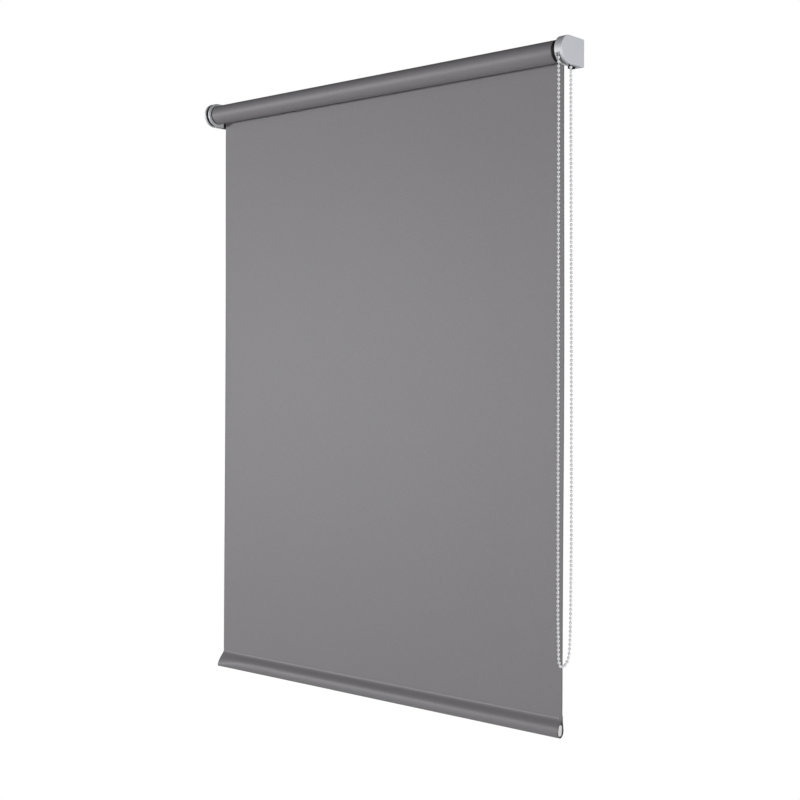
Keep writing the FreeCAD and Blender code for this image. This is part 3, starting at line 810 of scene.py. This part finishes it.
@dataclass
class BeadChain:
    """The endless bead chain: the free loop, and the stretch over the wheel."""

    roll: Roll
    bead_radius: float = 2.25 * MM
    pole_dent: float = 0.1 * MM
    string_radius: float = 0.8 * MM
    pitch: float = 6.0 * MM
    pockets: int = 15
    beads_below: int = 2  # beads beside the wheel's lower half, on each side
    exit_z: float = -12.5 * MM
    bend: float = 60.0 * MM  # the free chain bends over this length where it leaves the cap
    end_gaps: tuple[float, float] = (5.5 * MM, 2.5 * MM)  # from the loop's ends to its end beads
    route: tuple[tuple[float, float], ...] = (
        (-14.6, -12.5),
        (-17.2, -742.0),
        (-15.6, -815.0),
        (-14.6, -839.8),
        (-2.0, -842.6),
        (9.4, -834.0),
        (12.9, -812.0),
        (14.4, -768.0),
        (16.9, -595.0),
        (14.7, -12.5),
    )  # millimetres behind and above the roller's axis, as the chain hangs

    @property
    def plane_x(self) -> float:
        """The plane that the chain hangs in."""
        low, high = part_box("chain_loop")
        return (low.x + high.x) / 2

    def route_points(self) -> list[Vector]:
        """The route in the frame."""
        return [self.roll.at(self.plane_x, y * MM, z * MM) for y, z in self.route]

    def spline(self, points: Sequence[Vector], name: str) -> bpy.types.Object:
        """Smooth curve through the frame with these control points."""
        curve = bpy.data.curves.new(name, "CURVE")
        curve.dimensions = "3D"
        curve.resolution_u = 48
        line = curve.splines.new("NURBS")
        line.points.add(len(points) - 1)
        for knot, point in zip(line.points, points):
            knot.co = (*point, 1.0)
        line.order_u = 3
        line.use_endpoint_u = True
        obj = bpy.data.objects.new(name, curve)
        bpy.context.scene.collection.objects.link(obj)
        return obj

    @staticmethod
    def line_of(curve: bpy.types.Object) -> list[Vector]:
        """Points of a curve that has no bevel, in order."""
        mesh = bpy.data.meshes.new_from_object(curve)
        points = [vertex.co.copy() for vertex in mesh.vertices]
        bpy.data.meshes.remove(mesh)
        return points

    @staticmethod
    def spots(line: Sequence[Vector], distances: Iterable[float]) -> list[tuple[Vector, Vector]]:
        """Points and directions at distances along a line, which rise."""
        found: list[tuple[Vector, Vector]] = []
        k, gone = 0, 0.0
        for distance in distances:
            step = line[k + 1] - line[k]
            while gone + step.length < distance and k < len(line) - 2:
                gone += step.length
                k += 1
                step = line[k + 1] - line[k]
            found.append((line[k] + step * ((distance - gone) / step.length), step.normalized()))
        return found

    def bead(self) -> bpy.types.Object:
        """One bead along Z: a ball pressed a little flat where the string enters."""
        clear_selection()
        bpy.ops.mesh.primitive_uv_sphere_add(segments=10, ring_count=8, radius=self.bead_radius)
        ball = bpy.context.object
        bpy.ops.object.mode_set(mode="EDIT")
        bpy.ops.mesh.select_mode(type="VERT")
        for end in (-1, 1):
            bpy.ops.mesh.select_all(action="DESELECT")
            bpy.ops.object.mode_set(mode="OBJECT")
            for vertex in ball.data.vertices:
                vertex.select = vertex.co.z * end > self.bead_radius * 0.99
            bpy.ops.object.mode_set(mode="EDIT")
            bpy.ops.transform.translate(value=(0, 0, -end * self.pole_dent))
        bpy.ops.object.mode_set(mode="OBJECT")
        return ball

    def threaded(self, line: Sequence[Vector], distances: Iterable[float], name: str) -> bpy.types.Object:
        """Thread beads at distances along a line, on their string."""
        string = self.string_along(line)
        ball = self.bead()
        parts = [string]
        for point, direction in self.spots(line, distances):
            copy = ball.copy()
            copy.data = ball.data.copy()
            bpy.context.scene.collection.objects.link(copy)
            turn = direction.to_track_quat("Z", "Y").to_matrix().to_4x4()
            copy.data.transform(Matrix.Translation(point) @ turn)
            parts.append(copy)
        bpy.data.objects.remove(ball)
        piece = joined(parts, name)
        select_only(piece)
        bpy.ops.object.shade_smooth()
        dress(piece, Finish.BEAD_PLASTIC)
        return piece

    def string_along(self, line: Sequence[Vector]) -> bpy.types.Object:
        """Round string that follows a line of points."""
        curve = bpy.data.curves.new("string", "CURVE")
        curve.dimensions = "3D"
        curve.bevel_depth = self.string_radius
        curve.bevel_resolution = 1
        curve.use_fill_caps = True
        spline = curve.splines.new("POLY")
        spline.points.add(len(line) - 1)
        for knot, point in zip(spline.points, line):
            knot.co = (*point, 1.0)
        obj = bpy.data.objects.new("string", curve)
        bpy.context.scene.collection.objects.link(obj)
        select_only(obj)
        bpy.ops.object.convert(target="MESH")
        return bpy.context.object

    def build_loop(self) -> bpy.types.Object:
        """Hang the free loop, whose top bends where it leaves the cap."""
        curve = self.spline(self.route_points(), "chain_route")
        line = self.line_of(curve)
        bpy.data.objects.remove(curve)
        length = sum((b - a).length for a, b in zip(line, line[1:]))
        first, last = self.end_gaps[0], length - self.end_gaps[1]
        count = round((last - first) / self.pitch)
        distances = [mixed(first, last, k / count) for k in range(count + 1)]
        piece = self.threaded(line, distances, "bead_chain")
        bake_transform(piece)
        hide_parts("chain_loop")
        2 * self.bead_radius
        log.info("free chain is %.3f m long, with %d beads", length, count + 1)
        return piece

    def build_seated(self) -> bpy.types.Object:
        """Lay the chain over the wheel, down to where the loop starts."""
        radius = self.pitch / 2 / math.sin(math.pi / self.pockets)
        x = self.plane_x
        steps = 48
        arc = [math.pi * (1 - k / steps) for k in range(steps + 1)]
        line = [self.roll.at(x, -radius, self.exit_z)]
        line += [self.roll.at(x, radius * math.cos(a), radius * math.sin(a)) for a in arc]
        line.append(self.roll.at(x, radius, self.exit_z))
        lead = -self.exit_z
        over = radius * 2 * math.pi / self.pockets
        places = [lead - self.pitch * k for k in range(self.beads_below, 0, -1)]
        places += [lead + over * k for k in range(self.pockets // 2 + 1)]
        end_of_arc = lead + math.pi * radius
        places += [end_of_arc + self.pitch * (k + 0.5) for k in range(self.beads_below)]
        piece = self.threaded(line, places, "seated_beads")
        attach(piece, "root")
        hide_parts("seated_chain")
        return piece

    def build(self) -> None:
        """Make both stretches of chain."""
        for piece in (self.build_loop(), self.build_seated()):
            log.info("made %s", piece.name)


@dataclass
class Hardware:
    """The end caps, brackets, clutch, plugs and tube, which come from the frame as they are."""

    finishes: dict[str, Finish] = field(
        default_factory=lambda: {
            "control_cover": Finish.SILVER,
            "control_inner_plate": Finish.SILVER,
            "idle_cover": Finish.SILVER,
            "idle_inner_plate": Finish.SILVER,
            "control_bracket": Finish.ZINC_STEEL,
            "idle_bracket": Finish.ZINC_STEEL,
            "chain_guard": Finish.BLACK_NYLON,
            "clutch_hub": Finish.BLACK_NYLON,
            "drive_plug": Finish.BLACK_NYLON,
            "idle_block": Finish.BLACK_NYLON,
            "idle_plug": Finish.BLACK_NYLON,
            "chain_wheel": Finish.GREY_ACETAL,
            "idle_bush": Finish.WHITE_PLASTIC,
            "hub_clip": Finish.SPRING_WIRE,
            "wrap_spring_1": Finish.SPRING_WIRE,
            "wrap_spring_2": Finish.SPRING_WIRE,
            "idle_pin_spring": Finish.SPRING_WIRE,
            "idle_pin": Finish.PIN_STEEL,
            "roller_tube": Finish.MILL_ALUMINIUM,
            "fixing_tape": Finish.TAPE,
        }
    )

    def press_spring(self) -> None:
        """Give the spring of the sliding pin a mesh of its own."""
        low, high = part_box("idle_pin_spring")
        keep = 1 - travel_of("idle_pin_slide") / (high.x - low.x)
        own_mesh(frame["nodes"]["idle_pin_spring"])

    def build(self) -> None:
        """Dress every piece of hardware."""
        for node, finish in self.finishes.items():
            dress_node(node, finish)
        self.press_spring()


# Studio ------------------------------------------------------------------------------------------------


@dataclass
class Lamp:
    """A soft rectangular lamp that faces a point."""

    name: str
    place: tuple[float, float, float]
    aim: tuple[float, float, float]
    size: tuple[float, float]
    watts: float

    def build(self) -> None:
        """Hang the lamp."""
        data = bpy.data.lights.new(self.name, "AREA")
        data.shape = "RECTANGLE"
        data.size, data.size_y = self.size
        data.energy = self.watts
        obj = bpy.data.objects.new(self.name, data)
        obj.location = self.place
        obj.rotation_euler = (Vector(self.aim) - Vector(self.place)).to_track_quat("-Z", "Y").to_euler()
        bpy.context.scene.collection.objects.link(obj)


@dataclass
class Studio:
    """A white room with soft lamps round the blind, a floor well below it and the camera."""

    camera_place: tuple[float, float, float] = (1.4123, -1.5784, -0.4414)
    camera_azimuth: float = 41.25
    lens: float = 61.08
    shift_y: float = -0.0335
    floor_z: float = -2.3
    floor_radius: float = 2.6
    fill: float = 0.03
    reflections: tuple[tuple[float, Colour], ...] = (
        (0.0, (0.5, 0.5, 0.5)),
        (0.5, (0.9, 0.91, 0.93)),
        (0.62, (0.72, 0.73, 0.76)),
        (0.85, (0.06, 0.06, 0.065)),
    )  # what shiny surfaces see from straight below to straight above
    dark_side: tuple[float, float, float] = (-0.62, 0.6, 0.0)  # reflections fade out towards the back left
    lamps: tuple[Lamp, ...] = (
        Lamp("key", (-2.7, -3.3, -0.35), (0.0, 0.0, -0.5), (1.0, 0.6), 76.0),
        Lamp("front", (2.2, -3.0, -0.55), (0.1, 0.0, -0.5), (0.9, 0.6), 27.0),
        Lamp("side", (3.0, -0.2, -0.5), (0.3, 0.0, -0.4), (1.2, 1.2), 45.0),
        Lamp("back", (-0.6, 3.4, -0.3), (0.0, 0.0, -0.4), (1.2, 1.0), 35.0),
    )

    def build_world(self) -> None:
        """White surroundings that light the cloth only softly, and a dark ceiling for reflections."""
        world = bpy.data.worlds.new("studio")
        bpy.context.scene.world = world
        world.use_nodes = True
        tree = world.node_tree
        tree.nodes.clear()
        place = tree.nodes.new("ShaderNodeTexCoord")
        axes = tree.nodes.new("ShaderNodeSeparateXYZ")
        half = tree.nodes.new("ShaderNodeMath")
        half.operation = "MULTIPLY_ADD"
        for term in (1, 2):
            half.inputs[term].default_value = 0.5
        ramp = tree.nodes.new("ShaderNodeValToRGB")
        while len(ramp.color_ramp.elements) < len(self.reflections):
            ramp.color_ramp.elements.new(1.0)
        for element, (where, colour) in zip(ramp.color_ramp.elements, self.reflections):
            element.position, element.color = where, (*colour, 1.0)
        seen, shine, light = (tree.nodes.new("ShaderNodeBackground") for _ in range(3))
        seen.inputs["Color"].default_value = (1.0, 1.0, 1.0, 1.0)
        light.inputs["Color"].default_value = (0.98, 0.99, 1.0, 1.0)
        light.inputs["Strength"].default_value = self.fill
        facing = tree.nodes.new("ShaderNodeVectorMath")
        facing.operation = "DOT_PRODUCT"
        facing.inputs[1].default_value = self.dark_side
        level = tree.nodes.new("ShaderNodeMath")
        level.operation, level.use_clamp = "SUBTRACT", True
        level.inputs[0].default_value = 1.0
        path = tree.nodes.new("ShaderNodeLightPath")
        inner, outer = (tree.nodes.new("ShaderNodeMixShader") for _ in range(2))
        out = tree.nodes.new("ShaderNodeOutputWorld")
        for start, end in (
            (place.outputs["Generated"], axes.inputs[0]),
            (axes.outputs[2], half.inputs[0]),
            (half.outputs[0], ramp.inputs[0]),
            (ramp.outputs[0], shine.inputs["Color"]),
            (place.outputs["Generated"], facing.inputs[0]),
            (facing.outputs["Value"], level.inputs[1]),
            (level.outputs[0], shine.inputs["Strength"]),
            (path.outputs["Is Glossy Ray"], inner.inputs[0]),
            (light.outputs[0], inner.inputs[1]),
            (shine.outputs[0], inner.inputs[2]),
            (path.outputs["Is Camera Ray"], outer.inputs[0]),
            (inner.outputs[0], outer.inputs[1]),
            (seen.outputs[0], outer.inputs[2]),
            (outer.outputs[0], out.inputs["Surface"]),
        ):
            tree.links.new(start, end)

    def build_floor(self) -> None:
        """A round pale floor."""
        clear_selection()
        bpy.ops.mesh.primitive_circle_add(
            vertices=96, radius=self.floor_radius, fill_type="NGON", location=(0, -0.4, self.floor_z)
        )
        floor = bpy.context.object
        floor.name = "floor"
        settle(floor)
        floor.data.materials.append(PaleFloor().material())

    def build_camera(self) -> None:
        """Level camera that looks at the blind from its front, on the chain's side."""
        data = bpy.data.cameras.new("camera")
        data.lens = self.lens
        data.shift_y = self.shift_y
        camera = bpy.data.objects.new("camera", data)
        camera.location = self.camera_place
        camera.rotation_euler = (math.pi / 2, 0.0, math.radians(self.camera_azimuth))
        bpy.context.scene.collection.objects.link(camera)
        bpy.context.scene.camera = camera

    def build(self) -> None:
        """Set up the camera, the lights and the floor."""
        self.build_camera()
        self.build_world()
        self.build_floor()
        for lamp in self.lamps:
            lamp.build()
        bpy.context.scene.view_settings.view_transform = "Standard"


def main() -> None:
    """Build the camera and the chain first, then the cloth, the hem and the hardware."""
    logging.basicConfig(level=logging.INFO, format="%(name)s: %(message)s")
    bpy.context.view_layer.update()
    Studio().build()
    roll = Roll.from_frame()
    BeadChain(roll).build()
    BlindCloth(roll).build()
    Hem(roll).build()
    Hardware().build()


if __name__ == "__main__":
    main()
